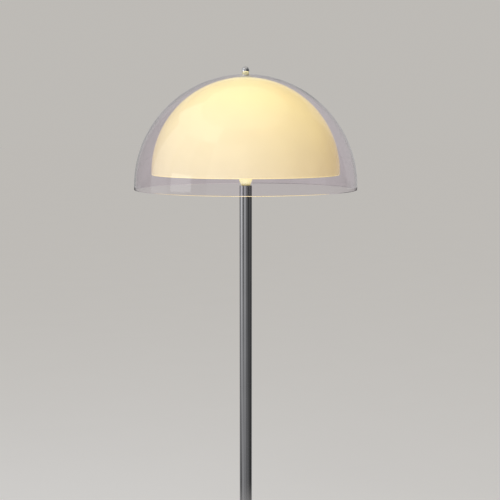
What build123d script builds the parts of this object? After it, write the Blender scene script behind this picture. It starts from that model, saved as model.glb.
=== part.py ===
from build123d import *
import math
import os

os.makedirs("parts", exist_ok=True)

# Mushroom floor lamp. Sizes are in millimetres, +Z is up, and the origin is on the floor on the pole's axis.
# The front faces -Y, and the cord inlet is at the rear.

# Fits
thread_gap = 0.05  # radial, screwed parts that stay put
running_gap = 0.08  # radial, screwed parts that are turned by hand
press_gap = 0.01  # radial, plugs pressed in the tube ends
loose_gap = 0.5  # radial, a screw or stud through a plain hole
recess_gap = 1.0  # all round, a part that lies in a recess or a channel

# Foot
base_radius = 140.0
cover_wall = 1.2
cover_corner_radius = 6.0
cover_crown = 2.0  # fall of the top from its flat middle to the shoulder
cover_gap = 0.3  # between the cover and the weight under it
land_radius = 34.0  # flat middle of the foot
weight_thickness = 22.0
pad_radius = 11.0
pad_thickness = 4.0
pad_recess = 1.0
pad_count = 6
pad_edge_margin = 11.0  # from the pads to the foot's side
pad_round = 0.8
gland_bore_radius = 3.6
gland_barrel_radius = 5.2
gland_flange_radius = 6.5
gland_flange_thickness = 2.0
gland_barrel_length = 10.0
gland_ridge = 0.6  # snap ridge that holds the bush behind the wall
gland_ridge_length = 2.0

# Threaded tube and nut that clamp the foot
nipple_radius = 5.0
nipple_bore_radius = 4.0
nipple_engagement = 14.0
nut_across_flats = 17.0
nut_thickness = 6.0
nut_tail = 2.0  # thread that stands out past the nut
washer_radius = 15.0
washer_thickness = 2.0

# Pole
pole_radius = 12.5
pole_wall = 1.2
lower_tube_length = 592.0
upper_tube_length = 642.0
plug_length = 22.0
plug_chamfer = 0.8
spigot_length = 15.0
collar_radius = 23.0
collar_height = 9.0
collar_rim = 2.0
collar_lip = 3.0  # width of the collar's top edge round the pole

# Lampholder
cap_wall = 1.8
cap_foot_radius = 11.5
cap_foot_round = 3.0
cap_waist_radius = 13.5
cap_waist_level = 14.0  # above the pole's top
cap_height = 30.0
cap_rim_height = 4.0
cap_boss_height = 10.0
spigot_depth = 5.0  # how far the skirt screws in the cap
spigot_wall = 1.6
skirt_wall = 2.0
skirt_air = 2.8  # between the skirt's outer wall and its inner sleeve
sleeve_wall = 1.7
insert_thickness = 9.5
insert_ledge = 1.0
contact_recess_radius = 9.0
contact_recess_depth = 3.0
contact_thickness = 0.5
contact_width = 5.0
terminal_screw_radius = 1.5
terminal_screw_length = 6.0
terminal_head_radius = 2.6
terminal_head_height = 1.8
terminal_spread = 6.5

# Bulb, E27
bulb_cap_radius = 13.2
bulb_cap_wall = 0.5
bulb_cap_length = 27.0
bulb_length = 106.0
bulb_globe_radius = 30.0
bulb_neck_radius = 13.9
bulb_neck_bend = 40.0
bulb_glass_wall = 1.0
bulb_contact_radius = 4.8
bulb_contact_height = 1.4
bulb_contact_round = 1.0
bulb_insulator_height = 5.2
bulb_shoulder_gap = 3.0  # from the skirt's end to the bulb's neck

# Shade carrier
ring_nut_height = 8.0
ring_nut_flange = 8.5  # width of the flange outside the thread
ring_nut_flange_thickness = 2.5
ring_nut_wall = 2.6
ring_nut_grips = 16
ring_nut_grip_radius = 1.6
ring_nut_relief = 0.5  # between the lower ring nut and the cap
carrier_ring_thickness = 2.0
carrier_ring_margin = 5.5  # of the carrier ring outside the ring nuts
carrier_height = 173.0
wire_radius = 2.0
arm_count = 3
arm_low_bend = 12.0
arm_weld_length = 4.5
hub_radius = 9.0
hub_height = 12.0
hub_flange_thickness = 3.0
arm_seat_depth = 4.0
stud_radius = 3.0
stud_in_hub = 8.0
stud_in_finial = 8.0

# Shades: two nested domes, each a hemisphere on a short straight skirt, with a small flat seat at the crown
outer_shade_radius = 225.0
outer_shade_skirt = 6.0
shade_spread = 35.0  # the inner shade is this much smaller in radius
inner_shade_skirt = 5.0
shade_wall = 3.0
shade_rim_round = 0.9
shade_seat_radius = 12.0
seat_margin = 1.0  # of the seats beyond the washers and the hub
support_washer_thickness = 2.0
spacer_washer_thickness = 3.0
finial_washer_thickness = 0.8

# Finial
finial_ball_radius = 8.0
finial_waist_radius = 6.7  # where the ball meets its collar
finial_collar_radius = 7.4
finial_collar_height = 2.0
finial_collar_round = 0.6

# Levels, from the floor up
weight_bottom = pad_thickness - pad_recess
weight_top = weight_bottom + weight_thickness
cover_top = weight_top + cover_wall
joint_level = cover_top + lower_tube_length
pole_top = joint_level + upper_tube_length
cap_top = pole_top + cap_height
carrier_level = cap_top + ring_nut_relief + ring_nut_height
hub_top = carrier_level + carrier_height
inner_seat_level = hub_top + support_washer_thickness + shade_wall
outer_seat_level = inner_seat_level + spacer_washer_thickness + shade_wall
finial_level = outer_seat_level + finial_washer_thickness


# Foot: a spun cover over a cast weight, both crowned the same way
def crowned_disc_section(radius, top, bottom):
    """Half section of a disc with a flat land, a crown that falls from it, and a straight side."""
    with BuildSketch(Plane.XZ) as section:
        with BuildLine():
            land = Line((0, top), (land_radius, top))
            crown = TangentArc((land_radius, top), (radius, top - cover_crown), tangent=(1, 0))
            Polyline(crown @ 1, (radius, bottom), (0, bottom), land @ 0)
        make_face()
    return section.sketch


def shoulder_edge(disc, radius):
    """The upper edge of a crowned disc's side."""
    rims = [e for e in disc.edges().filter_by(GeomType.CIRCLE) if abs(e.radius - radius) < 1e-3]
    return ShapeList(rims).sort_by(Axis.Z)[-1]


with BuildPart() as base_cover:
    revolve(crowned_disc_section(base_radius, cover_top, weight_bottom), axis=Axis.Z)
    fillet(shoulder_edge(base_cover, base_radius), cover_corner_radius)
    offset(amount=-cover_wall, openings=base_cover.faces().sort_by(Axis.Z)[0])
    with Locations((0, 0, cover_top)):
        Hole(nipple_radius + loose_gap, depth=2 * cover_wall)
    gland_level = weight_bottom + gland_flange_radius + recess_gap
    with BuildSketch(Plane.XZ.offset(-base_radius)):
        with Locations((0, gland_level)):
            Circle(gland_barrel_radius + thread_gap)
    extrude(amount=2 * cover_wall, mode=Mode.SUBTRACT)
base_cover.part.label = "base_cover"
export_step(base_cover.part, "parts/base_cover.step")

weight_radius = base_radius - cover_wall - cover_gap
nut_recess_depth = washer_thickness + nut_thickness + 2 * nut_tail
nut_recess_radius = washer_radius + 2 * recess_gap
nut_recess_roof = weight_bottom + nut_recess_depth
ridge_radius = gland_barrel_radius + gland_ridge
channel_width = 2 * (ridge_radius + recess_gap)
channel_depth = gland_level - weight_bottom + ridge_radius + recess_gap
pad_circle_radius = base_radius - pad_edge_margin - pad_radius

with BuildPart() as base_weight:
    revolve(crowned_disc_section(weight_radius, weight_top - cover_gap, weight_bottom), axis=Axis.Z)
    fillet(shoulder_edge(base_weight, weight_radius), cover_corner_radius - cover_wall - cover_gap)
    # raised middle that carries the cover
    with BuildSketch(Plane.XY.offset(weight_top - cover_gap)):
        Circle(land_radius)
    extrude(amount=cover_gap)
    with Locations((0, 0, weight_top)):
        Hole(nipple_radius + loose_gap, depth=weight_thickness)
    # recess for the washer and nut, and the channel that leads the cord from the rear to it
    with BuildSketch(Plane.XY.offset(weight_bottom)):
        Circle(nut_recess_radius)
    extrude(amount=nut_recess_depth, mode=Mode.SUBTRACT)
    channel_start = washer_radius + recess_gap
    with BuildSketch(Plane.XY.offset(weight_bottom)):
        with Locations((0, (channel_start + base_radius) / 2)):
            Rectangle(channel_width, base_radius - channel_start)
    extrude(amount=channel_depth, mode=Mode.SUBTRACT)
    with BuildSketch(Plane.XY.offset(weight_bottom)):
        with PolarLocations(pad_circle_radius, pad_count):
            Circle(pad_radius + cover_gap)
    extrude(amount=pad_recess, mode=Mode.SUBTRACT)
base_weight.part.label = "base_weight"
export_step(base_weight.part, "parts/base_weight.step")

for number, place in enumerate(PolarLocations(pad_circle_radius, pad_count), start=1):
    with BuildPart() as foot_pad:
        with BuildSketch(Plane(place)):
            Circle(pad_radius)
        extrude(amount=pad_thickness)
        fillet(foot_pad.edges().sort_by(Axis.Z)[0], pad_round)
    foot_pad.part.label = f"foot_pad_{number}"
    export_step(foot_pad.part, f"parts/foot_pad_{number}.step")

gland_plane = Plane(origin=(0, base_radius, gland_level), x_dir=(1, 0, 0), z_dir=(0, 1, 0))
with BuildPart() as cable_gland:
    with BuildSketch(gland_plane):
        Circle(gland_flange_radius)
    extrude(amount=gland_flange_thickness)
    with BuildSketch(gland_plane):
        Circle(gland_barrel_radius)
    extrude(amount=-gland_barrel_length)
    ridge_start = -(cover_wall + cover_gap)
    with BuildSketch(gland_plane.offset(ridge_start)) as ridge_base:
        Circle(ridge_radius)
    with BuildSketch(gland_plane.offset(ridge_start - gland_ridge_length)) as ridge_end:
        Circle(gland_barrel_radius)
    loft()
    rim = cable_gland.edges().filter_by(GeomType.CIRCLE).group_by(Axis.Y)[-1]
    fillet(rim, gland_flange_thickness / 2)
    with BuildSketch(gland_plane.offset(gland_flange_thickness)):
        Circle(gland_bore_radius)
    extrude(amount=-(gland_flange_thickness + gland_barrel_length), mode=Mode.SUBTRACT)
cable_gland.part.label = "cable_gland"
export_step(cable_gland.part, "parts/cable_gland.step")

with BuildPart() as base_washer:
    with BuildSketch(Plane.XY.offset(nut_recess_roof - washer_thickness)):
        Circle(washer_radius)
        Circle(nipple_radius + loose_gap, mode=Mode.SUBTRACT)
    extrude(amount=washer_thickness)
base_washer.part.label = "base_washer"
export_step(base_washer.part, "parts/base_washer.step")

nut_level = nut_recess_roof - washer_thickness - nut_thickness
with BuildPart() as base_nut:
    with BuildSketch(Plane.XY.offset(nut_level)):
        RegularPolygon(nut_across_flats / 2, 6, major_radius=False)
        Circle(nipple_radius + thread_gap, mode=Mode.SUBTRACT)
    extrude(amount=nut_thickness)
base_nut.part.label = "base_nut"
export_step(base_nut.part, "parts/base_nut.step")


def hollow_rod(bottom, top, outer_radius, inner_radius):
    """A straight tube on the axis, from one level to another."""
    with BuildSketch(Plane.XY.offset(bottom)) as ring:
        Circle(outer_radius)
        Circle(inner_radius, mode=Mode.SUBTRACT)
    extrude(ring.sketch, amount=top - bottom)


nipple_bottom = nut_level - nut_tail
with BuildPart() as base_nipple:
    hollow_rod(nipple_bottom, cover_top + nipple_engagement, nipple_radius, nipple_bore_radius)
base_nipple.part.label = "base_nipple"
export_step(base_nipple.part, "parts/base_nipple.step")

# Pole: two tubes that screw together through plugs pressed in their ends
plug_radius = pole_radius - pole_wall - press_gap
nipple_hole_radius = nipple_radius + thread_gap

with BuildPart() as pole_collar:
    collar_bore = pole_radius + running_gap
    lip_radius = collar_bore + collar_lip
    with BuildSketch(Plane.XZ):
        with BuildLine():
            foot = Polyline(
                (collar_bore, cover_top + collar_height),
                (collar_bore, cover_top),
                (collar_radius, cover_top),
                (collar_radius, cover_top + collar_rim),
            )
            sweep_up = SagittaArc(foot @ 1, (lip_radius, cover_top + collar_height), collar_rim)
            Line(sweep_up @ 1, foot @ 0)
        make_face()
    revolve(axis=Axis.Z)
pole_collar.part.label = "pole_collar"
export_step(pole_collar.part, "parts/pole_collar.step")

with BuildPart() as pole_foot_plug:
    hollow_rod(cover_top, cover_top + plug_length, plug_radius, nipple_hole_radius)
    chamfer(pole_foot_plug.edges().group_by(Axis.Z)[-1].sort_by(SortBy.RADIUS)[-1], plug_chamfer)
pole_foot_plug.part.label = "pole_foot_plug"
export_step(pole_foot_plug.part, "parts/pole_foot_plug.step")

with BuildPart() as pole_lower:
    hollow_rod(cover_top, joint_level, pole_radius, pole_radius - pole_wall)
pole_lower.part.label = "pole_lower"
export_step(pole_lower.part, "parts/pole_lower.step")

with BuildPart() as joint_socket:
    hollow_rod(joint_level - plug_length, joint_level, plug_radius, nipple_hole_radius)
    chamfer(joint_socket.edges().group_by(Axis.Z)[0].sort_by(SortBy.RADIUS)[-1], plug_chamfer)
joint_socket.part.label = "joint_socket"
export_step(joint_socket.part, "parts/joint_socket.step")

with BuildPart() as joint_spigot:
    hollow_rod(joint_level, joint_level + plug_length, plug_radius, nipple_bore_radius)
    chamfer(joint_spigot.edges().group_by(Axis.Z)[-1].sort_by(SortBy.RADIUS)[-1], plug_chamfer)
    hollow_rod(joint_level - spigot_length, joint_level, nipple_radius, nipple_bore_radius)
    chamfer(joint_spigot.edges().group_by(Axis.Z)[0].sort_by(SortBy.RADIUS)[-1], plug_chamfer / 2)
joint_spigot.part.label = "joint_spigot"
export_step(joint_spigot.part, "parts/joint_spigot.step")

with BuildPart() as pole_upper:
    hollow_rod(joint_level, pole_top, pole_radius, pole_radius - pole_wall)
pole_upper.part.label = "pole_upper"
export_step(pole_upper.part, "parts/pole_upper.step")

with BuildPart() as pole_top_plug:
    hollow_rod(pole_top - plug_length, pole_top, plug_radius, nipple_hole_radius)
    chamfer(pole_top_plug.edges().group_by(Axis.Z)[0].sort_by(SortBy.RADIUS)[-1], plug_chamfer)
pole_top_plug.part.label = "pole_top_plug"
export_step(pole_top_plug.part, "parts/pole_top_plug.step")

with BuildPart() as holder_nipple:
    nipple_top = pole_top + cap_boss_height
    hollow_rod(pole_top - nipple_engagement, nipple_top, nipple_radius, nipple_bore_radius)
holder_nipple.part.label = "holder_nipple"
export_step(holder_nipple.part, "parts/holder_nipple.step")

# Lampholder: a cap on the pole, a terminal block, and a double-walled skirt screwed in the cap
skirt_bore_radius = bulb_cap_radius + running_gap
sleeve_radius = skirt_bore_radius + sleeve_wall
skirt_inner_radius = sleeve_radius + skirt_air
skirt_radius = skirt_inner_radius + skirt_wall
spigot_radius = skirt_radius - thread_gap - cap_wall / 2
cap_mouth_radius = spigot_radius + thread_gap
cap_rim_radius = cap_mouth_radius + cap_wall
insert_radius = spigot_radius - spigot_wall - thread_gap
shoulder_level = cap_top - spigot_depth
insert_top = shoulder_level + insert_thickness
flare_level = cap_top - cap_rim_height
waist_level = pole_top + cap_waist_level
boss_level = pole_top + cap_boss_height

with BuildPart() as holder_cap:
    with BuildSketch(Plane.XZ) as cap_section:
        with BuildLine():
            Polyline(
                (nipple_hole_radius, pole_top),
                (cap_foot_radius, pole_top),
                (cap_waist_radius, waist_level),
                (cap_rim_radius, flare_level),
                (cap_rim_radius, cap_top),
                (cap_mouth_radius, cap_top),
                (cap_mouth_radius, shoulder_level),
                (insert_radius - insert_ledge, shoulder_level),
                (insert_radius - insert_ledge, shoulder_level - insert_ledge),
                (cap_waist_radius - cap_wall, waist_level),
                (cap_foot_radius - cap_wall, boss_level),
                (nipple_hole_radius, boss_level),
                close=True,
            )
        make_face()
        corners = cap_section.vertices()
        fillet(corners.sort_by_distance((cap_foot_radius, pole_top))[0], cap_foot_round)
        fillet(corners.sort_by_distance((cap_waist_radius, waist_level))[0], 3 * cap_foot_round)
        fillet(corners.sort_by_distance((cap_rim_radius, flare_level))[0], cap_foot_round)
        fillet(corners.sort_by_distance((cap_rim_radius, cap_top))[0], cap_wall / 3)
    revolve(axis=Axis.Z)
holder_cap.part.label = "holder_cap"
export_step(holder_cap.part, "parts/holder_cap.step")

insert_body_radius = cap_waist_radius - cap_wall - insert_ledge
insert_bottom = waist_level + insert_ledge
recess_floor = insert_top - contact_recess_depth
side_contact_radius = bulb_cap_radius - bulb_cap_wall
with BuildPart() as holder_insert:
    hollow_rod(insert_bottom, shoulder_level, insert_body_radius, nipple_bore_radius)
    hollow_rod(shoulder_level, recess_floor, insert_radius, nipple_bore_radius)
    hollow_rod(recess_floor, insert_top, insert_radius, contact_recess_radius)
    with Locations((side_contact_radius, 0, insert_top)):
        slot = contact_thickness + 2 * thread_gap
        Box(
            slot,
            contact_width / 2 + 2 * thread_gap,
            contact_recess_depth,
            align=(Align.CENTER, Align.CENTER, Align.MAX),
            mode=Mode.SUBTRACT,
        )
    with Locations(*[(x, 0, insert_bottom) for x in (-terminal_spread, terminal_spread)]):
        Cylinder(
            terminal_screw_radius + thread_gap,
            terminal_screw_length + thread_gap,
            align=(Align.CENTER, Align.CENTER, Align.MIN),
            mode=Mode.SUBTRACT,
        )
holder_insert.part.label = "holder_insert"
export_step(holder_insert.part, "parts/holder_insert.step")

with BuildPart() as terminal_screws:
    with Locations(*[(x, 0, insert_bottom) for x in (-terminal_spread, terminal_spread)]):
        Cylinder(
            terminal_screw_radius,
            terminal_screw_length,
            align=(Align.CENTER, Align.CENTER, Align.MIN),
        )
        Cylinder(
            terminal_head_radius,
            terminal_head_height,
            align=(Align.CENTER, Align.CENTER, Align.MAX),
        )
terminal_screws.part.label = "terminal_screws"
export_step(terminal_screws.part, "parts/terminal_screws.step")

bulb_bottom = insert_top - contact_thickness
bulb_cap_bottom = bulb_bottom + bulb_insulator_height
bulb_shoulder = bulb_bottom + bulb_cap_length
skirt_top = bulb_shoulder - bulb_shoulder_gap

with BuildPart() as centre_contact:
    with BuildSketch(Plane.XZ) as leaf_section:
        leaf_low = recess_floor + contact_thickness / 2
        leaf_high = bulb_bottom - contact_thickness
        with BuildLine():
            leaf = FilletPolyline(
                (-contact_recess_radius + contact_thickness, leaf_low),
                (-contact_recess_radius / 2, leaf_low),
                (-contact_thickness, leaf_high),
                (contact_recess_radius / 3, leaf_high),
                radius=contact_thickness,
            )
        trace(line_width=contact_thickness)
    extrude(amount=contact_width / 2, both=True)
centre_contact.part.label = "centre_contact"
export_step(centre_contact.part, "parts/centre_contact.step")

with BuildPart() as side_contact:
    with Locations((side_contact_radius, 0, insert_top - contact_recess_depth)):
        Box(
            contact_thickness,
            contact_width / 2,
            contact_recess_depth + bulb_cap_bottom - insert_top - contact_thickness,
            align=(Align.CENTER, Align.CENTER, Align.MIN),
        )
side_contact.part.label = "side_contact"
export_step(side_contact.part, "parts/side_contact.step")

with BuildPart() as holder_shell:
    with BuildSketch(Plane.XZ) as shell_section:
        with BuildLine():
            Polyline(
                (spigot_radius - spigot_wall, shoulder_level),
                (spigot_radius, shoulder_level),
                (spigot_radius, cap_top),
                (skirt_radius, cap_top),
                (skirt_radius, skirt_top),
                (skirt_bore_radius, skirt_top),
                (skirt_bore_radius, insert_top),
                (sleeve_radius, insert_top),
                (sleeve_radius, skirt_top - skirt_wall),
                (spigot_radius - spigot_wall, skirt_top - skirt_wall),
                close=True,
            )
        make_face()
        outer_corner = shell_section.vertices().sort_by_distance((skirt_radius, skirt_top))[0]
        fillet(outer_corner, skirt_wall / 2)
    revolve(axis=Axis.Z)
holder_shell.part.label = "holder_shell"
export_step(holder_shell.part, "parts/holder_shell.step")


# Shade carrier: a pressed ring clamped between two ring nuts, three bent wires and a turned hub
def ring_nut_body(flange_level, direction):
    """A ring nut with its flange at the given level and its threaded wall on the side away from the ring."""
    bore = skirt_radius + thread_gap
    with BuildSketch(Plane.XY.offset(flange_level)) as flange:
        Circle(skirt_radius + ring_nut_flange)
        Circle(bore, mode=Mode.SUBTRACT)
        with PolarLocations(skirt_radius + ring_nut_flange, ring_nut_grips):
            Circle(ring_nut_grip_radius, mode=Mode.SUBTRACT)
    extrude(flange.sketch, amount=direction * ring_nut_flange_thickness)
    with BuildSketch(Plane.XY.offset(flange_level)) as wall:
        Circle(bore + ring_nut_wall)
        Circle(bore, mode=Mode.SUBTRACT)
    extrude(wall.sketch, amount=direction * ring_nut_height)


with BuildPart() as shade_ring_lower:
    ring_nut_body(carrier_level, -1)
shade_ring_lower.part.label = "shade_ring_lower"
export_step(shade_ring_lower.part, "parts/shade_ring_lower.step")

with BuildPart() as shade_ring_upper:
    ring_nut_body(carrier_level + carrier_ring_thickness, 1)
shade_ring_upper.part.label = "shade_ring_upper"
export_step(shade_ring_upper.part, "parts/shade_ring_upper.step")

carrier_ring_radius = skirt_radius + ring_nut_flange + carrier_ring_margin
with BuildPart() as carrier_ring:
    carrier_ring_top = carrier_level + carrier_ring_thickness
    hollow_rod(carrier_level, carrier_ring_top, carrier_ring_radius, skirt_radius + loose_gap)
    ring_rims = carrier_ring.edges().filter_by(GeomType.CIRCLE).group_by(SortBy.RADIUS)[-1]
    fillet(ring_rims, carrier_ring_thickness / 4)
carrier_ring.part.label = "carrier_ring"
export_step(carrier_ring.part, "parts/carrier_ring.step")

arm_bow_radius = carrier_ring_radius + arm_low_bend
arm_top_bend = arm_bow_radius - hub_radius - wire_radius
arm_foot_level = carrier_level + carrier_ring_thickness + wire_radius
arm_head_level = hub_top - (hub_height + hub_flange_thickness) / 2
arm_directions = [90.0 + 360.0 / arm_count * turn for turn in range(arm_count)]


def radial_plane(angle):
    """The upright plane through the axis whose x runs outwards at the given angle."""
    outwards = (math.cos(math.radians(angle)), math.sin(math.radians(angle)), 0)
    return Plane(origin=(0, 0, 0), x_dir=outwards, z_dir=(outwards[1], -outwards[0], 0))


for number, angle in enumerate(arm_directions, start=1):
    with BuildPart() as carrier_arm:
        with BuildLine(radial_plane(angle)) as wire_path:
            FilletPolyline(
                (carrier_ring_radius - arm_weld_length, arm_foot_level),
                (arm_bow_radius, arm_foot_level),
                (arm_bow_radius, arm_head_level),
                (hub_radius - arm_seat_depth, arm_head_level),
                radius=(arm_low_bend, arm_top_bend),
            )
        with BuildSketch(Plane(origin=wire_path.line @ 0, z_dir=wire_path.line % 0)):
            Circle(wire_radius)
        sweep(path=wire_path.line)
    carrier_arm.part.label = f"carrier_arm_{number}"
    export_step(carrier_arm.part, f"parts/carrier_arm_{number}.step")

with BuildPart() as carrier_hub:
    hub_flange_radius = shade_seat_radius - seat_margin
    with BuildSketch(Plane.XY.offset(hub_top)):
        Circle(hub_flange_radius)
    extrude(amount=-hub_flange_thickness)
    with BuildSketch(Plane.XY.offset(hub_top)):
        Circle(hub_radius)
    extrude(amount=-hub_height)
    chamfer(carrier_hub.edges().group_by(Axis.Z)[0], plug_chamfer)
    for angle in arm_directions:
        radial = radial_plane(angle)
        hole_plane = Plane(
            origin=radial.from_local_coords((hub_radius - arm_seat_depth, arm_head_level, 0)),
            z_dir=radial.x_dir,
        )
        with BuildSketch(hole_plane):
            Circle(wire_radius + thread_gap)
        extrude(amount=2 * arm_seat_depth, mode=Mode.SUBTRACT)
    with Locations((0, 0, hub_top)):
        Hole(stud_radius + thread_gap, depth=stud_in_hub)
carrier_hub.part.label = "carrier_hub"
export_step(carrier_hub.part, "parts/carrier_hub.step")

with BuildPart() as carrier_stud:
    with BuildSketch(Plane.XY.offset(hub_top - stud_in_hub)):
        Circle(stud_radius)
    extrude(amount=stud_in_hub + finial_level + stud_in_finial - hub_top)
    chamfer(carrier_stud.edges().group_by(Axis.Z)[-1], stud_radius / 6)
carrier_stud.part.label = "carrier_stud"
export_step(carrier_stud.part, "parts/carrier_stud.step")

# Bulb: a pear-shaped glass envelope in a screw cap
bulb_globe_level = bulb_bottom + bulb_length - bulb_globe_radius


def bulb_section(inset):
    """Half section of the envelope's outline, moved inwards by inset: neck, flare and globe."""
    neck = bulb_neck_radius - inset
    globe = bulb_globe_radius - inset
    bend = bulb_neck_bend + inset
    reach = bulb_neck_radius + bulb_neck_bend
    drop = math.sqrt((bulb_globe_radius + bulb_neck_bend) ** 2 - reach**2)
    flare_turn = math.degrees(math.atan2(drop, reach))
    with BuildSketch(Plane.XZ) as section:
        with BuildLine():
            flare = CenterArc((reach, bulb_globe_level - drop), bend, 180, -flare_turn)
            ball = CenterArc((0, bulb_globe_level), globe, -flare_turn, 90 + flare_turn)
            Polyline(ball @ 1, (0, bulb_shoulder + inset), (neck, bulb_shoulder + inset), flare @ 0)
        make_face()
    return section.sketch


with BuildPart() as bulb_envelope:
    revolve(bulb_section(0), axis=Axis.Z)
    spigot_outer = bulb_cap_radius - bulb_cap_wall - thread_gap
    with BuildSketch(Plane.XY.offset(bulb_shoulder)):
        Circle(spigot_outer)
    extrude(amount=-bulb_cap_length / 4)
    revolve(bulb_section(bulb_glass_wall), axis=Axis.Z, mode=Mode.SUBTRACT)
    with BuildSketch(Plane.XY.offset(bulb_shoulder + bulb_glass_wall)):
        Circle(spigot_outer - bulb_glass_wall)
    extrude(amount=-(bulb_cap_length / 4 + bulb_glass_wall), mode=Mode.SUBTRACT)
bulb_envelope.part.label = "bulb_envelope"
export_step(bulb_envelope.part, "parts/bulb_envelope.step")

with BuildPart() as bulb_cap:
    hollow_rod(bulb_cap_bottom, bulb_shoulder, bulb_cap_radius, bulb_cap_radius - bulb_cap_wall)
bulb_cap.part.label = "bulb_cap"
export_step(bulb_cap.part, "parts/bulb_cap.step")

with BuildPart() as bulb_insulator:
    insulator_radius = bulb_cap_radius - bulb_cap_wall - thread_gap
    with BuildSketch(Plane.XZ):
        with BuildLine():
            Polyline(
                (0, bulb_bottom + bulb_contact_height),
                (bulb_contact_radius, bulb_bottom + bulb_contact_height),
                (insulator_radius, bulb_cap_bottom),
                (insulator_radius, bulb_cap_bottom + bulb_contact_height),
                (0, bulb_cap_bottom + bulb_contact_height),
                close=True,
            )
        make_face()
    revolve(axis=Axis.Z)
bulb_insulator.part.label = "bulb_insulator"
export_step(bulb_insulator.part, "parts/bulb_insulator.step")

with BuildPart() as bulb_contact:
    with BuildSketch(Plane.XY.offset(bulb_bottom)):
        Circle(bulb_contact_radius)
    extrude(amount=bulb_contact_height)
    fillet(bulb_contact.edges().group_by(Axis.Z)[0], bulb_contact_round)
bulb_contact.part.label = "bulb_contact"
export_step(bulb_contact.part, "parts/bulb_contact.step")


# Shades and the washers between them
def washer(bottom, thickness, radius):
    """A flat washer that goes over the stud."""
    hollow_rod(bottom, bottom + thickness, radius, stud_radius + loose_gap)


def dome(radius, skirt, seat_level):
    """A hemispherical shell on a short straight skirt, with a flat seat and a hole at the crown."""
    inner_radius = radius - shade_wall
    seat_rise = math.sqrt(radius**2 - shade_seat_radius**2)
    centre_level = seat_level - seat_rise
    rim_level = centre_level - skirt
    outer_turn = math.degrees(math.acos(shade_seat_radius / radius))
    inner_turn = math.degrees(math.asin((seat_rise - shade_wall) / inner_radius))
    hole = stud_radius + loose_gap
    with BuildSketch(Plane.XZ) as dome_section:
        with BuildLine():
            outside = CenterArc((0, centre_level), radius, 0, outer_turn)
            inside = CenterArc((0, centre_level), inner_radius, 0, inner_turn)
            Polyline(outside @ 1, (hole, seat_level), (hole, seat_level - shade_wall), inside @ 1)
            Polyline(outside @ 0, (radius, rim_level), (inner_radius, rim_level), inside @ 0)
        make_face()
        fillet(dome_section.vertices().group_by(Axis.Y)[0], shade_rim_round)
    revolve(dome_section.sketch, axis=Axis.Z)


soft_washer_radius = shade_seat_radius - seat_margin
with BuildPart() as support_washer:
    washer(hub_top, support_washer_thickness, soft_washer_radius)
support_washer.part.label = "support_washer"
export_step(support_washer.part, "parts/support_washer.step")

with BuildPart() as inner_shade:
    dome(outer_shade_radius - shade_spread, inner_shade_skirt, inner_seat_level)
inner_shade.part.label = "inner_shade"
export_step(inner_shade.part, "parts/inner_shade.step")

with BuildPart() as spacer_washer:
    washer(inner_seat_level, spacer_washer_thickness, soft_washer_radius)
spacer_washer.part.label = "spacer_washer"
export_step(spacer_washer.part, "parts/spacer_washer.step")

with BuildPart() as outer_shade:
    dome(outer_shade_radius, outer_shade_skirt, outer_seat_level)
outer_shade.part.label = "outer_shade"
export_step(outer_shade.part, "parts/outer_shade.step")

with BuildPart() as finial_washer:
    washer(outer_seat_level, finial_washer_thickness, finial_collar_radius)
finial_washer.part.label = "finial_washer"
export_step(finial_washer.part, "parts/finial_washer.step")

# Finial: a turned ball on a collar, with a blind threaded hole
with BuildPart() as finial:
    collar_level = finial_level + finial_collar_height
    ball_rise = math.sqrt(finial_ball_radius**2 - finial_waist_radius**2)
    ball_level = collar_level + ball_rise
    ball_start = -math.degrees(math.asin(ball_rise / finial_ball_radius))
    with BuildSketch(Plane.XZ) as finial_section:
        with BuildLine():
            ball = CenterArc((0, ball_level), finial_ball_radius, ball_start, 90 - ball_start)
            Polyline(
                ball @ 0,
                (finial_collar_radius, collar_level),
                (finial_collar_radius, finial_level),
                (0, finial_level),
                ball @ 1,
            )
        make_face()
        edge = finial_section.vertices().sort_by_distance((finial_collar_radius, collar_level))[0]
        fillet(edge, finial_collar_round)
    revolve(axis=Axis.Z)
    with BuildSketch(Plane.XY.offset(finial_level)):
        Circle(stud_radius + running_gap)
    extrude(amount=stud_in_finial + recess_gap, mode=Mode.SUBTRACT)
finial.part.label = "finial"
export_step(finial.part, "parts/finial.step")

print("overall height", round(finial.part.bounding_box().max.Z, 2))
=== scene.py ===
import math

import bmesh
import bpy
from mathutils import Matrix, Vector


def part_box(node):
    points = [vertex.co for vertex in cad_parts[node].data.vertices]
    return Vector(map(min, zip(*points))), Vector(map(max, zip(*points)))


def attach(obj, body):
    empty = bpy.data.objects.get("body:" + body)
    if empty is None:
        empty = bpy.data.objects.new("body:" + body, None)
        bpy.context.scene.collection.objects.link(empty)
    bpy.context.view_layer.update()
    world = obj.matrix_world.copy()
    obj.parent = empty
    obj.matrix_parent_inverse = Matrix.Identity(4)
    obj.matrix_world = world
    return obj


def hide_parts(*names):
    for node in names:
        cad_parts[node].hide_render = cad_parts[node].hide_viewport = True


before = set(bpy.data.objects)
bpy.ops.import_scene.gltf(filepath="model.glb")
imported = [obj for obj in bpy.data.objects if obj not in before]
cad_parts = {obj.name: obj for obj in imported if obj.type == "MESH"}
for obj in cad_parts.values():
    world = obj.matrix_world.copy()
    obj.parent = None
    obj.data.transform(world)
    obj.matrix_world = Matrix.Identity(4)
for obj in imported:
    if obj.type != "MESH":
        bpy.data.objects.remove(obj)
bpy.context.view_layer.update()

# Foot pads and cord bush: black rubber, moulded, with the fine grain of the mould and paler dust where they have
# been handled. The six pads are glued in shallow recesses of the weight; the bush is snapped in the cover's rear.
mm = 0.001


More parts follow.
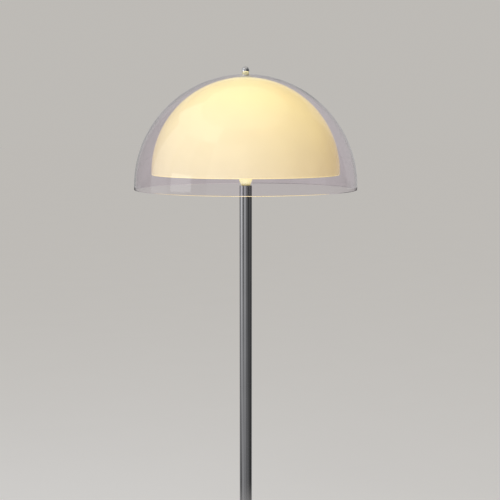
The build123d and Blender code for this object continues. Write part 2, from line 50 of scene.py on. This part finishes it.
class Dye:
    """A value or a colour in a material's node tree. Sums and products of values add Math nodes."""

    def __init__(self, tree, socket=None):
        self.tree = tree
        self.socket = socket

    def node(self, kind, settings, sockets, output=0):
        """A node of that kind, with its settings made first and then its sockets' values or links."""
        made = self.tree.nodes.new("ShaderNode" + kind)
        for name, setting in settings.items():
            if name == "stops":
                for place, colour in setting[1:-1]:
                    made.color_ramp.elements.new(place)
                for stop, (place, colour) in zip(made.color_ramp.elements, setting):
                    stop.position = place
                    stop.color = (*colour, 1.0)
            else:
                setattr(made, name, setting)
        for name, value in sockets.items():
            if isinstance(value, Dye):
                self.tree.links.new(value.socket, made.inputs[name])
            elif made.inputs[name].type == "RGBA":
                made.inputs[name].default_value = (*value, 1.0)
            else:
                made.inputs[name].default_value = value
        return Dye(self.tree, made.outputs[output] if made.outputs else None)

    def math(self, operation, first, second):
        return self.node("Math", {"operation": operation}, {0: first, 1: second})

    def __add__(self, other):
        return self.math("ADD", self, other)

    def __radd__(self, other):
        return self.math("ADD", other, self)

    def __sub__(self, other):
        return self.math("SUBTRACT", self, other)

    def __rsub__(self, other):
        return self.math("SUBTRACT", other, self)

    def __mul__(self, other):
        return self.math("MULTIPLY", self, other)

    def __rmul__(self, other):
        return self.math("MULTIPLY", other, self)

    def __truediv__(self, other):
        return self.math("DIVIDE", self, other)

    def __rtruediv__(self, other):
        return self.math("DIVIDE", other, self)

    def span(self, low, high):
        """0 where the value is low, 1 where it is high, and even steps between."""
        return self.node("MapRange", {}, {"Value": self, "From Min": low, "From Max": high})

    def mix(self, first, second):
        """A colour that goes from the first to the second as the value goes from 0 to 1."""
        return self.node("Mix", {"data_type": "RGBA"}, {"Factor": self, 6: first, 7: second}, output=2)

    def noise(self, place, scale, detail=3.0, stretch=(1.0, 1.0, 1.0)):
        """Soft random spots, scale of them to the metre, drawn out along the axis whose stretch is small."""
        pulled = self.node("Mapping", {}, {"Vector": place, "Scale": stretch})
        return self.node("TexNoise", {}, {"Vector": pulled, "Scale": scale, "Detail": detail})

    def bump(self, height, depth):
        """A surface direction that follows a height from 0 to 1, which is depth metres deep."""
        return self.node("Bump", {}, {"Height": height, "Distance": depth})


def new_finish(name):
    """An empty material: the material, its tree, and Object coordinates on the piece."""
    finish = bpy.data.materials.new(name)
    finish.use_nodes = True
    finish.node_tree.nodes.clear()
    tree = Dye(finish.node_tree)
    return finish, tree, tree.node("TexCoord", {}, {}, output="Object")


def close_finish(tree, volume=None, **sockets):
    """Ends a material with the plastic, metal or glass that the sockets describe."""
    named = {name.replace("_", " "): value for name, value in sockets.items()}
    ends = {"Surface": tree.node("BsdfPrincipled", {}, named)}
    if volume:
        ends["Volume"] = volume
    tree.node("OutputMaterial", {}, ends)


def dress(finish, *names):
    """Gives CAD nodes a finish in place of the plain one that they were packed with."""
    for name in names:
        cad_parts[name].material_slots[0].material = finish


rubber, tree, place = new_finish("rubber")
mould_grain = tree.noise(place, 1400.0)
handling = tree.noise(place, 60.0).span(0.42, 0.72)
close_finish(
    tree,
    Base_Color=handling.mix((0.016, 0.016, 0.017), (0.055, 0.052, 0.048)),
    Roughness=0.62 + 0.2 * mould_grain,
    Normal=tree.bump(mould_grain, 0.12 * mm),
)
dress(rubber, "cable_gland", *[f"foot_pad_{n}" for n in range(1, 7)])

# Weight: a cast-iron disc that fills the foot under the cover. It is poured in sand, fettled and dipped in black
# paint, so it keeps the pits of the sand under a satin skin.
cast_paint, tree, place = new_finish("cast_paint")
sand_pits = tree.noise(place, 320.0, detail=5.0)
brush_wear = tree.noise(place, 25.0).span(0.5, 0.75)
close_finish(
    tree,
    Base_Color=brush_wear.mix((0.022, 0.022, 0.024), (0.06, 0.055, 0.05)),
    Roughness=0.45 + 0.25 * sand_pits,
    Normal=tree.bump(sand_pits, 0.5 * mm),
)
dress(cast_paint, "base_weight")


# Clamp of the foot: a hollow threaded nipple through weight and cover, with a pressed washer and a hexagon nut under
# the weight. Zinc-plated steel with the clouded, faintly blue-yellow look of passivated zinc.
def new_zinc(name, cloud_scale):
    """Zinc plate: clouded grey metal with a faint warm tint in the thin places."""
    zinc, tree, place = new_finish(name)
    clouds = tree.noise(place, cloud_scale).span(0.35, 0.65)
    scratches = tree.noise(place, 900.0, stretch=(1.0, 1.0, 0.08))
    close_finish(
        tree,
        Base_Color=clouds.mix((0.50, 0.51, 0.54), (0.60, 0.58, 0.52)),
        Metallic=1.0,
        Roughness=0.26 + 0.12 * clouds + 0.08 * scratches,
        Normal=tree.bump(scratches, 0.02 * mm),
    )
    return zinc


zinc_plate = new_zinc("zinc_plate", 160.0)
dress(zinc_plate, "base_washer", "base_nut", "pole_foot_plug", "joint_socket", "joint_spigot", "pole_top_plug")


def screw_rib(mesh, core, crest, pitch, bottom, top, steps):
    """Screws one rounded pitch of a thread round the axis, from bottom to top, and trims both ends flat."""
    points = 8
    wave = [(crest - core) * (1 - math.cos(2 * math.pi * n / points)) / 2 for n in range(points + 1)]
    rib = [mesh.verts.new((core + rise, 0, bottom - pitch * (1 - n / points))) for n, rise in enumerate(wave)]
    edges = [mesh.edges.new(pair) for pair in zip(rib, rib[1:])]
    turns = math.ceil((top - bottom) / pitch) + 1
    bmesh.ops.spin(
        mesh,
        geom=rib + edges,
        cent=(0, 0, 0),
        axis=(0, 0, 1),
        dvec=(0, 0, pitch / steps),
        angle=2 * math.pi * turns,
        steps=steps * turns,
        use_merge=False,
    )
    bmesh.ops.remove_doubles(mesh, verts=mesh.verts, dist=pitch / 200)
    for level, outwards in ((bottom, -1), (top, 1)):
        everything = mesh.verts[:] + mesh.edges[:] + mesh.faces[:]
        bmesh.ops.bisect_plane(
            mesh, geom=everything, plane_co=(0, 0, level), plane_no=(0, 0, outwards), clear_outer=True
        )


def open_rims(mesh):
    """The edges at the piece's open ends, the lower end's first."""
    rims = [e for e in mesh.edges if e.is_boundary]
    middle = sum(e.verts[0].co.z for e in rims) / len(rims)
    return [e for e in rims if e.verts[0].co.z < middle], [e for e in rims if e.verts[0].co.z >= middle]


def line_with_bore(mesh, bore):
    """Gives a threaded sleeve its plain bore and closes both ends of the wall."""
    for rim in open_rims(mesh):
        inward = bmesh.ops.extrude_edge_only(mesh, edges=rim)["geom"]
        for v in (v for v in inward if isinstance(v, bmesh.types.BMVert)):
            v.co.xy = v.co.xy.normalized() * bore
    bmesh.ops.bridge_loops(mesh, edges=[e for e in mesh.edges if e.is_boundary])


def settle(name, mesh, finish, body, slot, *nodes, crease=35.0):
    """Makes a bmesh a finished piece that rides on a body and stands for the named CAD nodes."""
    bmesh.ops.recalc_face_normals(mesh, faces=mesh.faces)
    shape = bpy.data.meshes.new(name)
    mesh.to_mesh(shape)
    mesh.free()
    shape.shade_smooth()
    shape.set_sharp_from_angle(angle=math.radians(crease))
    shape.materials.append(finish)
    made = bpy.data.objects.new(name, shape)
    bpy.context.scene.collection.objects.link(made)
    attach(made, body)
    if nodes:
        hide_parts(*nodes)
    return made


def threaded_sleeve(name, node, core_depth, pitch, bore, finish, body, slot, steps=48):
    """A hollow sleeve with an outside thread, as long as its CAD node and with its crest at the node's surface."""
    low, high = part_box(node)
    mesh = bmesh.new()
    screw_rib(mesh, high.x - core_depth, high.x, pitch, low.z, high.z, steps)
    line_with_bore(mesh, bore)
    return settle(name, mesh, finish, body, slot, node)


nipple_thread_depth = 0.55 * mm
nipple_pitch = 1.0 * mm
nipple_bore = 4.0 * mm
for node in ("base_nipple", "holder_nipple"):
    threaded_sleeve(
        f"{node}_threaded", node, nipple_thread_depth, nipple_pitch, nipple_bore, zinc_plate, "stand", "zinc_steel"
    )


# Cover, collar and tubes: steel, spun or drawn, then polished and chromed. The plate is a mirror with the faint
# waves of the buffing wheel, hairline rub marks and the dull bloom that fingers and dusters leave.
def new_chrome(name, rub_stretch, rub_scale, tone=0.60):
    """Chrome plate whose hairline marks are drawn out along the axis with the small stretch."""
    chrome, tree, place = new_finish(name)
    bloom = tree.noise(place, 14.0, detail=4.0).span(0.42, 0.75)
    hairlines = tree.noise(place, rub_scale, detail=2.0, stretch=rub_stretch)
    waves = tree.noise(place, 30.0, detail=1.0, stretch=rub_stretch)
    close_finish(
        tree,
        Base_Color=bloom.mix((tone, tone, tone + 0.02), (tone - 0.05, tone - 0.05, tone - 0.03)),
        Metallic=1.0,
        Roughness=0.045 + 0.06 * bloom + 0.03 * hairlines,
        Normal=tree.bump(waves + 0.04 * hairlines, 0.03 * mm),
    )
    return chrome


tube_chrome = new_chrome("tube_chrome", (1.0, 1.0, 0.12), 700.0)
spun_chrome = new_chrome("spun_chrome", (1.0, 1.0, 1.0), 500.0)
dress(tube_chrome, "pole_lower", "pole_upper")
dress(spun_chrome, "base_cover", "pole_collar")


# Lampholder: cap, skirt and ring nuts moulded in heat-proof white thermoplastic, glossy from the mould. Their
# emission is a painted warm yellow-white glow that stands in for the lit bulb's light through the thin walls, and it
# is dark at the cap's solid foot. The cap's foot is a round bowl that stands on the pole.
def new_moulding(name, glow, glow_off_level, glow_full_level):
    """White thermoplastic: gloss skin with slight flow marks, and a painted glow for the bulb's light that runs from
    dark at the first level to full at the second.
    """
    moulding, tree, place = new_finish(name)
    flow = tree.noise(place, 90.0, stretch=(1.0, 1.0, 0.3))
    skin = tree.noise(place, 1100.0, detail=2.0)
    height = tree.node("SeparateXYZ", {}, {"Vector": place}, output="Z")
    close_finish(
        tree,
        Base_Color=flow.mix((0.80, 0.79, 0.64), (0.86, 0.85, 0.70)),
        Roughness=0.28 + 0.1 * skin,
        Emission_Color=height.span(glow_off_level, glow_full_level).mix(
            (0.26, 0.22, 0.06), flow.mix((1.0, 0.90, 0.38), (1.0, 0.94, 0.46))
        ),
        Emission_Strength=glow,
        Normal=tree.bump(skin, 0.02 * mm),
    )
    return moulding


cap_low, cap_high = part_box("holder_cap")
solid_foot_height = 7.0 * mm
# Painted glow: strong on the cap and dark at its solid foot, faint on the skirt and ring nuts.
glowing_moulding = new_moulding("glowing_moulding", 0.45, cap_low.z, cap_low.z + solid_foot_height)
faint_glow_moulding = new_moulding("faint_glow_moulding", 0.12, cap_low.z, cap_high.z)
dress(faint_glow_moulding, "shade_ring_lower", "shade_ring_upper")
nipple_hole = 5.05
cap_height = 30.0
boss_height = 10.0
# Radius and rise above the cap's foot, in millimetres: foot and bowl, then the flare up to the rolled rim, then the
# mouth that the skirt is screwed in, and the inside down to the boss on the nipple.
cap_outline = (
    (nipple_hole, 0.0), (7.0, 0.0), (8.3, 0.5), (9.6, 1.9), (10.7, 4.0), (11.8, 6.5), (12.6, 9.0), (13.1, 11.5),
    (13.5, 14.0), (14.9, 16.8), (17.6, 21.2), (20.0, 25.2), (20.6, 26.8), (20.68, 29.3), (20.1, cap_height),
    (18.88, cap_height), (18.88, 25.0), (16.18, 25.0), (16.18, 24.0), (11.7, 14.0), (9.7, boss_height),
    (nipple_hole, boss_height),
)
mesh = bmesh.new()
corners = [mesh.verts.new((radius * mm, 0, cap_low.z + rise * mm)) for radius, rise in cap_outline]
sides = [mesh.edges.new(pair) for pair in zip(corners, corners[1:] + corners[:1])]
bmesh.ops.spin(
    mesh, geom=corners + sides, cent=(0, 0, 0), axis=(0, 0, 1), angle=2 * math.pi, steps=96, use_merge=True
)
settle("holder_cap_moulded", mesh, glowing_moulding, "stand", "holder_plastic", "holder_cap", crease=30.0)
skirt_thread_depth = 0.7 * mm
skirt_pitch = 2.5 * mm
skirt_bore = 13.28 * mm
threaded_sleeve(
    "holder_skirt",
    "holder_shell",
    skirt_thread_depth,
    skirt_pitch,
    skirt_bore,
    faint_glow_moulding,
    "stand",
    "holder_plastic",
    steps=64,
)

# Terminal block: a porcelain disc that carries the contacts, dry-pressed and left unglazed, so it has fine pores. It
# is held between cap and skirt.
porcelain, tree, place = new_finish("porcelain")
pores = tree.noise(place, 1600.0, detail=4.0)
close_finish(
    tree,
    Base_Color=pores.span(0.3, 0.42).mix((0.62, 0.60, 0.56), (0.84, 0.82, 0.78)),
    Roughness=0.55 + 0.2 * pores,
    Normal=tree.bump(pores, 0.05 * mm),
)
dress(porcelain, "holder_insert")

# Contacts of holder and bulb: stamped brass strip and a drop of solder, with brown tarnish in cloudy patches. The
# two terminal screws that hold the wires are zinc-plated.
brass, tree, place = new_finish("brass")
tarnish = tree.noise(place, 240.0, detail=4.0).span(0.4, 0.75)
close_finish(
    tree,
    Base_Color=tarnish.mix((0.78, 0.57, 0.25), (0.42, 0.28, 0.13)),
    Metallic=1.0,
    Roughness=0.28 + 0.25 * tarnish,
    Normal=tree.bump(tarnish, 0.01 * mm),
)
dress(brass, "centre_contact", "side_contact", "bulb_contact")
dress(new_zinc("terminal_zinc", 400.0), "terminal_screws")

# Shade carrier: a pressed ring, three bent wires welded to it and brazed in a turned hub, all nickel plated, and the
# threaded stud that the shades are centred on.
nickel, tree, place = new_finish("nickel")
draw_marks = tree.noise(place, 1200.0, detail=2.0, stretch=(1.0, 1.0, 0.1))
dulling = tree.noise(place, 45.0).span(0.4, 0.7)
close_finish(
    tree,
    Base_Color=dulling.mix((0.66, 0.62, 0.56), (0.55, 0.51, 0.45)),
    Metallic=1.0,
    Roughness=0.16 + 0.12 * dulling + 0.06 * draw_marks,
    Normal=tree.bump(draw_marks, 0.015 * mm),
)
arms = [f"carrier_arm_{n}" for n in range(1, 4)]
dress(nickel, "carrier_ring", "carrier_hub", *arms)
low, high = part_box("carrier_stud")
stud_thread_depth = 0.6 * mm
stud_pitch = 1.0 * mm
mesh = bmesh.new()
screw_rib(mesh, high.x - stud_thread_depth, high.x, stud_pitch, low.z, high.z, 32)
for rim in open_rims(mesh):
    bmesh.ops.contextual_create(mesh, geom=rim)
settle("carrier_stud_threaded", mesh, zinc_plate, "stand", "zinc_steel", "carrier_stud")

# Bulb: a frosted glass envelope that glows evenly, cemented in an aluminium cap with a rolled screw, above a black
# glass insulator. It is screwed in the holder.
frosted_glass, tree, place = new_finish("frosted_glass")
height = tree.node("SeparateXYZ", {}, {"Vector": place}, output="Z")
bulb_low, bulb_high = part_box("bulb_envelope")
up_the_bulb = height.span(bulb_low.z, bulb_high.z)
frost = tree.noise(place, 2200.0, detail=1.0)
close_finish(
    tree,
    Base_Color=frost.mix((0.90, 0.88, 0.84), (0.95, 0.93, 0.89)),
    Roughness=0.35 + 0.1 * frost,
    Emission_Color=tree.node(
        "ValToRGB",
        {"stops": [(0.0, (0.55, 0.36, 0.16)), (0.35, (1.0, 0.74, 0.42)), (0.7, (1.0, 0.86, 0.60))]},
        {"Fac": up_the_bulb},
    ),
    Emission_Strength=1.4,
    Normal=tree.bump(frost, 0.01 * mm),
)
dress(frosted_glass, "bulb_envelope")

vitrite, tree, place = new_finish("vitrite")
ripples = tree.noise(place, 500.0)
close_finish(
    tree,
    Base_Color=ripples.mix((0.012, 0.012, 0.016), (0.03, 0.03, 0.036)),
    Roughness=0.12 + 0.1 * ripples,
    Normal=tree.bump(ripples, 0.04 * mm),
)
dress(vitrite, "bulb_insulator")

rolled_aluminium, tree, place = new_finish("rolled_aluminium")
rolling = tree.noise(place, 800.0, stretch=(0.2, 0.2, 1.0))
close_finish(
    tree,
    Base_Color=rolling.mix((0.72, 0.72, 0.72), (0.60, 0.60, 0.61)),
    Metallic=1.0,
    Roughness=0.24 + 0.14 * rolling,
    Normal=tree.bump(rolling, 0.02 * mm),
)
rolled_depth = 0.95 * mm
rolled_pitch = 3.63 * mm
rolled_bore = 11.9 * mm
threaded_sleeve(
    "bulb_cap_rolled", "bulb_cap", rolled_depth, rolled_pitch, rolled_bore, rolled_aluminium, "bulb", "bulb_metal"
)

# Inner shade: an opal acrylic dome, blown and trimmed, its rim polished. Its emission is painted light: a glow that
# stands in for the bulb's light through the shade, brightest where the bulb is near, with a painted bright line along
# the rim. It keeps the gloss of the sheet, with slight clouding from the uneven wall.
opal, tree, place = new_finish("opal_acrylic")
globe_radius = 30.0 * mm
bulb_heart = (0.0, 0.0, bulb_high.z - globe_radius)
reach = tree.node("VectorMath", {"operation": "DISTANCE"}, {0: place, 1: bulb_heart}, output="Value")
crown_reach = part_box("inner_shade")[1].z - bulb_heart[2]
nearness = (crown_reach * crown_reach) / (reach * reach)
clouding = tree.noise(place, 18.0, detail=2.0)
dust = tree.noise(place, 1500.0, detail=1.0)
height = tree.node("SeparateXYZ", {}, {"Vector": place}, output="Z")
rim_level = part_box("inner_shade")[0].z
rim_painted_glow = height.span(rim_level + 2.0 * mm, rim_level + 0.8 * mm)
# Painted light: the emission stands in for the bulb's light through the shade, with a painted bright line along the
# polished rim.
close_finish(
    tree,
    Base_Color=clouding.mix((0.60, 0.59, 0.46), (0.63, 0.62, 0.49)),
    Roughness=0.10 + 0.08 * clouding + 0.04 * dust,
    IOR=1.49,
    Specular_IOR_Level=0.1,
    Coat_Weight=0.5,
    Coat_Roughness=0.06,
    Coat_IOR=1.49,
    Emission_Color=tree.node(
        "ValToRGB",
        {
            "stops": [
                (0.2, (0.29, 0.185, 0.05)),
                (0.4, (0.49, 0.355, 0.085)),
                (0.6, (0.66, 0.50, 0.115)),
                (0.8, (0.81, 0.63, 0.17)),
                (1.0, (1.0, 0.90, 0.30)),
            ]
        },
        {"Fac": nearness + 0.06 * (clouding - 0.5) + 0.3 * rim_painted_glow},
    ),
    Emission_Strength=1.25,
    Normal=tree.bump(clouding, 0.2 * mm),
)
dress(opal, "inner_shade")

# Washers under and between the shades and under the finial: punched from translucent nylon sheet. Their emission is a
# painted glow for the light of the shades under them, strong on the top one and faint on the lower ones.
nylon, tree, place = new_finish("nylon")
milk = tree.noise(place, 300.0)
height = tree.node("SeparateXYZ", {}, {"Vector": place}, output="Z")
# Painted glow: the emission stands in for the shades' light through the nylon, strong on the finial washer and faint
# below it.
close_finish(
    tree,
    Base_Color=milk.mix((0.36, 0.34, 0.25), (0.42, 0.40, 0.30)),
    Roughness=0.42 + 0.1 * milk,
    Emission_Color=height.span(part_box("spacer_washer")[1].z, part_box("finial_washer")[0].z).mix(
        (0.08, 0.07, 0.03), milk.mix((0.62, 0.52, 0.22), (0.62, 0.56, 0.28))
    ),
    Emission_Strength=0.6,
    Normal=tree.bump(milk, 0.03 * mm),
)
dress(nylon, "support_washer", "spacer_washer", "finial_washer")

# Outer shade: a clear acrylic dome a size larger, with a faint grey-lilac tint that gathers where the eye looks along
# the wall, the gentle waves of blown sheet, and a polished rim with a painted faint glow along its cut edge.
clear_acrylic, tree, place = new_finish("clear_acrylic")
blown_waves = tree.noise(place, 9.0, detail=1.0)
smears = tree.noise(place, 22.0, detail=4.0).span(0.55, 0.8)
height = tree.node("SeparateXYZ", {}, {"Vector": place}, output="Z")
rim_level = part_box("outer_shade")[0].z
# Painted highlight: a faint light line along the rim's cut edge.
rim_painted_glow = height.span(rim_level + 0.5 * mm, rim_level + 0.1 * mm)
tint = tree.node("VolumeAbsorption", {}, {"Color": (0.55, 0.40, 0.58), "Density": 12.0})
close_finish(
    tree,
    volume=tint,
    Base_Color=(0.955, 0.925, 0.96),
    Roughness=0.012 + 0.03 * smears,
    IOR=1.49,
    Transmission_Weight=1.0,
    Emission_Color=rim_painted_glow.mix((0.0, 0.0, 0.0), (0.17, 0.15, 0.17)),
    Emission_Strength=1.0,
    Normal=tree.bump(blown_waves, 0.3 * mm),
)
dress(clear_acrylic, "outer_shade")
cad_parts["outer_shade"].visible_shadow = False

# Finial: a brass ball turned in one with its collar, drilled and tapped from below, chromed and buffed, and screwed
# down on the stud. The collar narrows towards its foot, so that it mirrors the lit shade under it.
ball_chrome = new_chrome("ball_chrome", (1.0, 1.0, 1.0), 1500.0, tone=0.92)
low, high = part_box("finial")
ball_radius = high.x
ball_heart = high.z - ball_radius
waist_radius = 6.7 * mm
waist_turn = math.pi - math.asin(waist_radius / ball_radius)
arc_steps = 24
stud_hole = 3.08
# Radius and rise above the finial's foot, in millimetres: the collar, then the tapped hole up to its drilled end.
collar_outline = ((7.2, 2.0), (7.4, 1.8), (7.35, 1.5), (6.0, 0.0), (stud_hole, 0.0), (stud_hole, 8.5), (0.0, 9.0))
finial_outline = [
    (ball_radius * math.sin(turn), ball_heart + ball_radius * math.cos(turn))
    for turn in (waist_turn * n / arc_steps for n in range(arc_steps + 1))
]
finial_outline += [(radius * mm, low.z + rise * mm) for radius, rise in collar_outline]
mesh = bmesh.new()
corners = [mesh.verts.new((radius, 0, level)) for radius, level in finial_outline]
sides = [mesh.edges.new(pair) for pair in zip(corners, corners[1:])]
bmesh.ops.spin(
    mesh, geom=corners + sides, cent=(0, 0, 0), axis=(0, 0, 1), angle=2 * math.pi, steps=64, use_merge=True
)
bmesh.ops.remove_doubles(mesh, verts=mesh.verts, dist=0.001 * mm)
settle("finial_turned", mesh, ball_chrome, "finial", "chrome", "finial", crease=30.0)

# Studio: a pale warm floor that runs on under a backdrop of the same colour, a soft lamp at the front, a weaker cool
# one to the left, and tall cards that only mirrors see.
backdrop_colour = (0.512, 0.494, 0.467)
floor_radius = 60.0
mesh = bmesh.new()
bmesh.ops.create_circle(mesh, cap_ends=True, segments=96, radius=floor_radius)
floor_shape = bpy.data.meshes.new("floor")
mesh.to_mesh(floor_shape)
mesh.free()
floor_paint, tree, place = new_finish("floor_paint")
floor_texture = tree.noise(place, 3.0)
close_finish(
    tree,
    Base_Color=floor_texture.mix((0.94, 0.905, 0.855), (0.955, 0.92, 0.87)),
    Roughness=0.9,
    Specular_IOR_Level=0.0,
)
floor_shape.materials.append(floor_paint)
floor = bpy.data.objects.new("floor", floor_shape)
bpy.context.scene.collection.objects.link(floor)

world = bpy.data.worlds.new("studio")
world.use_nodes = True
world.node_tree.nodes.clear()
world.cycles.sampling_method = "NONE"
tree = Dye(world.node_tree)
seen = (
    tree.node("LightPath", {}, {}, output="Is Camera Ray")
    + tree.node("LightPath", {}, {}, output="Is Glossy Ray")
    + tree.node("LightPath", {}, {}, output="Is Transmission Ray")
)
sky = tree.node("Background", {}, {"Color": seen.mix((0.54, 0.54, 0.54), backdrop_colour), "Strength": 1.0})
tree.node("OutputWorld", {}, {"Surface": sky})
bpy.context.scene.world = world


def soft_lamp(name, place, aim, size, level, colour):
    """A square soft lamp that makes white paint at its aim as bright as level, where 1 is white."""
    lamp = bpy.data.lights.new(name, "AREA")
    lamp.size = size
    lamp.energy = level * (math.pi * math.dist(place, aim)) ** 2
    lamp.color = colour
    lamp.cycles.use_multiple_importance_sampling = False
    stand = bpy.data.objects.new(name, lamp)
    stand.location = place
    stand.rotation_euler = (Vector(aim) - Vector(place)).to_track_quat("-Z", "Y").to_euler()
    stand.visible_camera = False
    stand.visible_glossy = False
    stand.visible_transmission = False
    bpy.context.scene.collection.objects.link(stand)


shade_middle = (0.0, 0.0, 1.36)
soft_lamp("lamp_front", (-0.9, -2.6, 2.4), shade_middle, 1.6, 0.60, (0.97, 1.0, 1.0))
soft_lamp("lamp_left", (-2.6, -1.3, 2.0), shade_middle, 1.6, 0.26, (0.45, 0.62, 1.0))
blend_foot = 0.17
blend_head = 1.13
floor_blend = 0.16


def mirror_card(name, start, end, foot, head, foot_level, head_level, distance=1.5):
    """An upright curved card that only mirrors see, round the lamp from one azimuth to the other, in degrees.

    It is as bright as foot_level up to blend_foot and as head_level from blend_head, and fades into the floor.
    """
    mesh = bmesh.new()
    turn = math.radians(start - 90.0)
    low = mesh.verts.new((distance * math.cos(turn), distance * math.sin(turn), foot))
    high = mesh.verts.new((low.co.x, low.co.y, head))
    upright = mesh.edges.new((low, high))
    bmesh.ops.spin(
        mesh, geom=[low, high, upright], cent=(0, 0, 0), axis=(0, 0, 1), angle=math.radians(end - start), steps=12,
        use_merge=False,
    )
    card_shape = bpy.data.meshes.new(name)
    mesh.to_mesh(card_shape)
    mesh.free()
    paper, tree, place = new_finish(name)
    height = tree.node("SeparateXYZ", {}, {"Vector": place}, output="Z")
    shine = height.span(blend_foot, blend_head).mix((foot_level,) * 3, (head_level,) * 3)
    shine = height.span(0.0, floor_blend).mix(backdrop_colour, shine)
    close_finish(
        tree,
        Base_Color=(0.0, 0.0, 0.0),
        Specular_IOR_Level=0.0,
        Emission_Color=shine,
        Emission_Strength=1.0,
    )
    paper.cycles.emission_sampling = "NONE"
    card_shape.materials.append(paper)
    card = bpy.data.objects.new(name, card_shape)
    card.visible_camera = False
    card.visible_diffuse = False
    card.visible_transmission = False
    card.visible_shadow = False
    bpy.context.scene.collection.objects.link(card)


card_head = 2.6
behind_split = 1.18
roof_head = 3.7
for name, start, end, foot_level, head_level in (
    ("card_far_left", -142.0, -104.0, 0.20, 0.28),
    ("card_bright_left", -104.0, -80.0, 0.10, 0.92),
    ("card_soft_left", -80.0, -56.0, 0.34, 0.52),
    ("card_dark_left", -56.0, -36.0, 0.36, 0.07),
    ("card_front_left", -36.0, 2.0, 0.25, 0.49),
    ("card_front", 2.0, 22.0, 0.17, 0.20),
    ("card_front_right", 22.0, 42.0, 0.17, 0.13),
    ("card_dark_right", 42.0, 62.0, 0.14, 0.04),
    ("card_right", 62.0, 86.0, 0.07, 0.11),
    ("card_far_right", 86.0, 118.0, 0.03, 0.09),
):
    mirror_card(name, start, end, 0.0, card_head, foot_level, head_level)
mirror_card("card_limb_right", 118.0, 160.0, 0.0, behind_split, 0.12, 0.04)
mirror_card("card_behind", 160.0, 200.0, 0.0, behind_split, 0.40, 0.40)
mirror_card("card_limb_left", 200.0, 218.0, 0.0, behind_split, 0.16, 0.08)
mirror_card("card_behind_shades", 118.0, 218.0, behind_split, card_head, 0.46, 0.46)
mirror_card("card_window", -75.0, -52.0, 1.20, 1.54, 2.1, 2.1, distance=1.45)
mirror_card("card_high_left", -125.0, -35.0, card_head, roof_head, 0.9, 0.9)
mirror_card("card_high_right", -35.0, 235.0, card_head, roof_head, 0.15, 0.15)

# Camera: at the photograph's distance, height and tilt, with the lamp's axis a little left of the middle. It stands
# a little higher than the shades' rims, which show as flat ellipses.
eye = (0.0087, -2.35, 1.392)
tilt_down = 6.4
lens_length = 83.6
camera_data = bpy.data.cameras.new("camera")
camera_data.sensor_width = 36.0
camera_data.lens = lens_length
camera = bpy.data.objects.new("camera", camera_data)
camera.location = eye
camera.rotation_euler = (math.radians(90.0 - tilt_down), 0.0, 0.0)
bpy.context.scene.collection.objects.link(camera)
bpy.context.scene.camera = camera

bpy.context.scene.view_settings.view_transform = "Standard"
